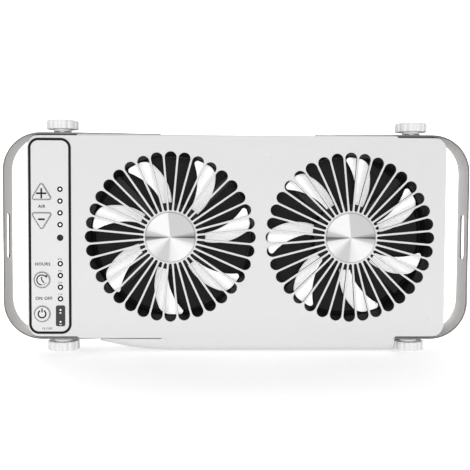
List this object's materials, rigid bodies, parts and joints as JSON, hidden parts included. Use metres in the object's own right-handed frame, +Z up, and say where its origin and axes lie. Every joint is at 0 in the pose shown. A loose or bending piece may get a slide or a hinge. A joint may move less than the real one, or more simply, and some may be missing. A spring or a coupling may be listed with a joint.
{
  "type": "roof vent fan",
  "caption": "Flat white roof vent fan: axial fans behind round slotted grilles, a side control panel and sliding spring steel end straps clamped by fluted knobs.",
  "frame": {"origin": "middle of the bounding box with the straps pushed in", "axes": "+X from the control panel towards the right fan along the length, +Y from the front plate to the back, +Z up"},
  "size_m": [0.38, 0.0542, 0.1888],
  "materials": {
    "shell": "moulded, fine satin, white",
    "blade_white": "moulded, glossy white",
    "knob_white": "moulded, satin white",
    "dark_plastic": "moulded, satin black",
    "spun_aluminium": "turned in circles",
    "strap_steel": "satin, brushed along the strap",
    "small_steel": "zinc plated",
    "bearing_steel": "ground",
    "core_steel": "stacked sheet",
    "copper": "enamelled copper wire",
    "insert_brass": "turned",
    "ferrite": "pressed, matt",
    "foam": "foam, matt",
    "rubber": "matt",
    "circuit_board": "solder mask, satin",
    "panel_print": "printed, satin black",
    "panel_white": "satin film, white",
    "light_lens": "clear white, frosted",
    "smoked": "smoked, glossy",
    "wire": "smooth cable"
  },
  "bodies": {
    "housing": {"front_cover": "shell", "rear_housing": "shell", "left_hub_cap": "spun_aluminium", "right_hub_cap": "spun_aluminium", "fan_gaskets": "foam", "filter_pads": "foam", "left_fan_frame": "dark_plastic", "right_fan_frame": "dark_plastic", "shaft_bearings": "bearing_steel", "motor_stators": "core_steel", "motor_windings": "copper", "motor_ring_boards": "circuit_board", "strap_pads": "rubber", "threaded_inserts": "insert_brass", "panel_border": "panel_print", "panel_face": "panel_white", "indicator_lights": "light_lens", "indicator_rings": "panel_print", "receiver_window": "smoked", "airflow_indicator": "smoked", "airflow_lights": "light_lens", "control_board": "circuit_board", "push_switches": "dark_plastic", "board_screws": "small_steel", "power_inlet": "dark_plastic", "inlet_pin": "insert_brass", "inside_leads": "wire", "body_screws": "small_steel"},
    "left_rotor": {"left_rotor_hub": "dark_plastic", "left_impeller": "blade_white", "left_shaft": "bearing_steel", "left_shaft_clip": "small_steel", "left_rotor_magnet": "ferrite"},
    "right_rotor": {"right_rotor_hub": "dark_plastic", "right_impeller": "blade_white", "right_shaft": "bearing_steel", "right_shaft_clip": "small_steel", "right_rotor_magnet": "ferrite"},
    "left_strap": {"left_strap": "strap_steel"},
    "right_strap": {"right_strap": "strap_steel"},
    "upper_left_washer": {"upper_left_washer": "small_steel"},
    "upper_left_knob": {"upper_left_knob": "knob_white", "upper_left_stud": "small_steel"},
    "upper_right_washer": {"upper_right_washer": "small_steel"},
    "upper_right_knob": {"upper_right_knob": "knob_white", "upper_right_stud": "small_steel"},
    "lower_left_washer": {"lower_left_washer": "small_steel"},
    "lower_left_knob": {"lower_left_knob": "knob_white", "lower_left_stud": "small_steel"},
    "lower_right_washer": {"lower_right_washer": "small_steel"},
    "lower_right_knob": {"lower_right_knob": "knob_white", "lower_right_stud": "small_steel"},
    "plus_button": {"plus_button": "panel_white"},
    "minus_button": {"minus_button": "panel_white"},
    "timer_button": {"timer_button": "panel_white"},
    "power_button": {"power_button": "panel_white"}
  },
  "joints": [
    {"name": "left_fan_spin", "type": "hinge", "parent": "housing", "child": "left_rotor", "pos_m": [-0.0546, 0.0031, 0], "axis": [0, -1, 0], "continuous": true},
    {"name": "right_fan_spin", "type": "hinge", "parent": "housing", "child": "right_rotor", "pos_m": [0.0914, 0.0031, 0], "axis": [0, -1, 0], "continuous": true},
    {"name": "left_strap_slide", "type": "slide", "parent": "housing", "child": "left_strap", "axis": [-1, 0, 0], "range_m": [0, 0.025]},
    {"name": "right_strap_slide", "type": "slide", "parent": "housing", "child": "right_strap", "axis": [1, 0, 0], "range_m": [0, 0.025]},
    {"name": "upper_left_washer_lift", "type": "slide", "parent": "housing", "child": "upper_left_washer", "axis": [0, 0, 1], "range_m": [0, 0.0016]},
    {"name": "upper_left_knob_turn", "type": "hinge", "parent": "upper_left_washer", "child": "upper_left_knob", "pos_m": [-0.144, -0.0064, 0.09], "axis": [0, 0, 1], "range_deg": [0, 720]},
    {"name": "upper_right_washer_lift", "type": "slide", "parent": "housing", "child": "upper_right_washer", "axis": [0, 0, 1], "range_m": [0, 0.0016]},
    {"name": "upper_right_knob_turn", "type": "hinge", "parent": "upper_right_washer", "child": "upper_right_knob", "pos_m": [0.144, -0.0064, 0.09], "axis": [0, 0, 1], "range_deg": [0, 720]},
    {"name": "lower_left_washer_lift", "type": "slide", "parent": "housing", "child": "lower_left_washer", "axis": [0, 0, -1], "range_m": [0, 0.0016]},
    {"name": "lower_left_knob_turn", "type": "hinge", "parent": "lower_left_washer", "child": "lower_left_knob", "pos_m": [-0.144, -0.0064, -0.09], "axis": [0, 0, -1], "range_deg": [0, 720]},
    {"name": "lower_right_washer_lift", "type": "slide", "parent": "housing", "child": "lower_right_washer", "axis": [0, 0, -1], "range_m": [0, 0.0016]},
    {"name": "lower_right_knob_turn", "type": "hinge", "parent": "lower_right_washer", "child": "lower_right_knob", "pos_m": [0.144, -0.0064, -0.09], "axis": [0, 0, -1], "range_deg": [0, 720]},
    {"name": "plus_button_press", "type": "slide", "parent": "housing", "child": "plus_button", "axis": [0, 1, 0], "range_m": [0, 0.0006], "stiffness_N_per_m": 300, "springref_m": -0.001},
    {"name": "minus_button_press", "type": "slide", "parent": "housing", "child": "minus_button", "axis": [0, 1, 0], "range_m": [0, 0.0006], "stiffness_N_per_m": 300, "springref_m": -0.001},
    {"name": "timer_button_press", "type": "slide", "parent": "housing", "child": "timer_button", "axis": [0, 1, 0], "range_m": [0, 0.0006], "stiffness_N_per_m": 300, "springref_m": -0.001},
    {"name": "power_button_press", "type": "slide", "parent": "housing", "child": "power_button", "axis": [0, 1, 0], "range_m": [0, 0.0006], "stiffness_N_per_m": 300, "springref_m": -0.001}
  ],
  "couplings": [
    {"joint": "upper_left_knob_turn", "follows": "upper_left_washer_lift", "rad_per_m": 7853.9},
    {"joint": "upper_right_knob_turn", "follows": "upper_right_washer_lift", "rad_per_m": 7853.9},
    {"joint": "lower_left_knob_turn", "follows": "lower_left_washer_lift", "rad_per_m": 7853.9},
    {"joint": "lower_right_knob_turn", "follows": "lower_right_washer_lift", "rad_per_m": 7853.9}
  ]
}
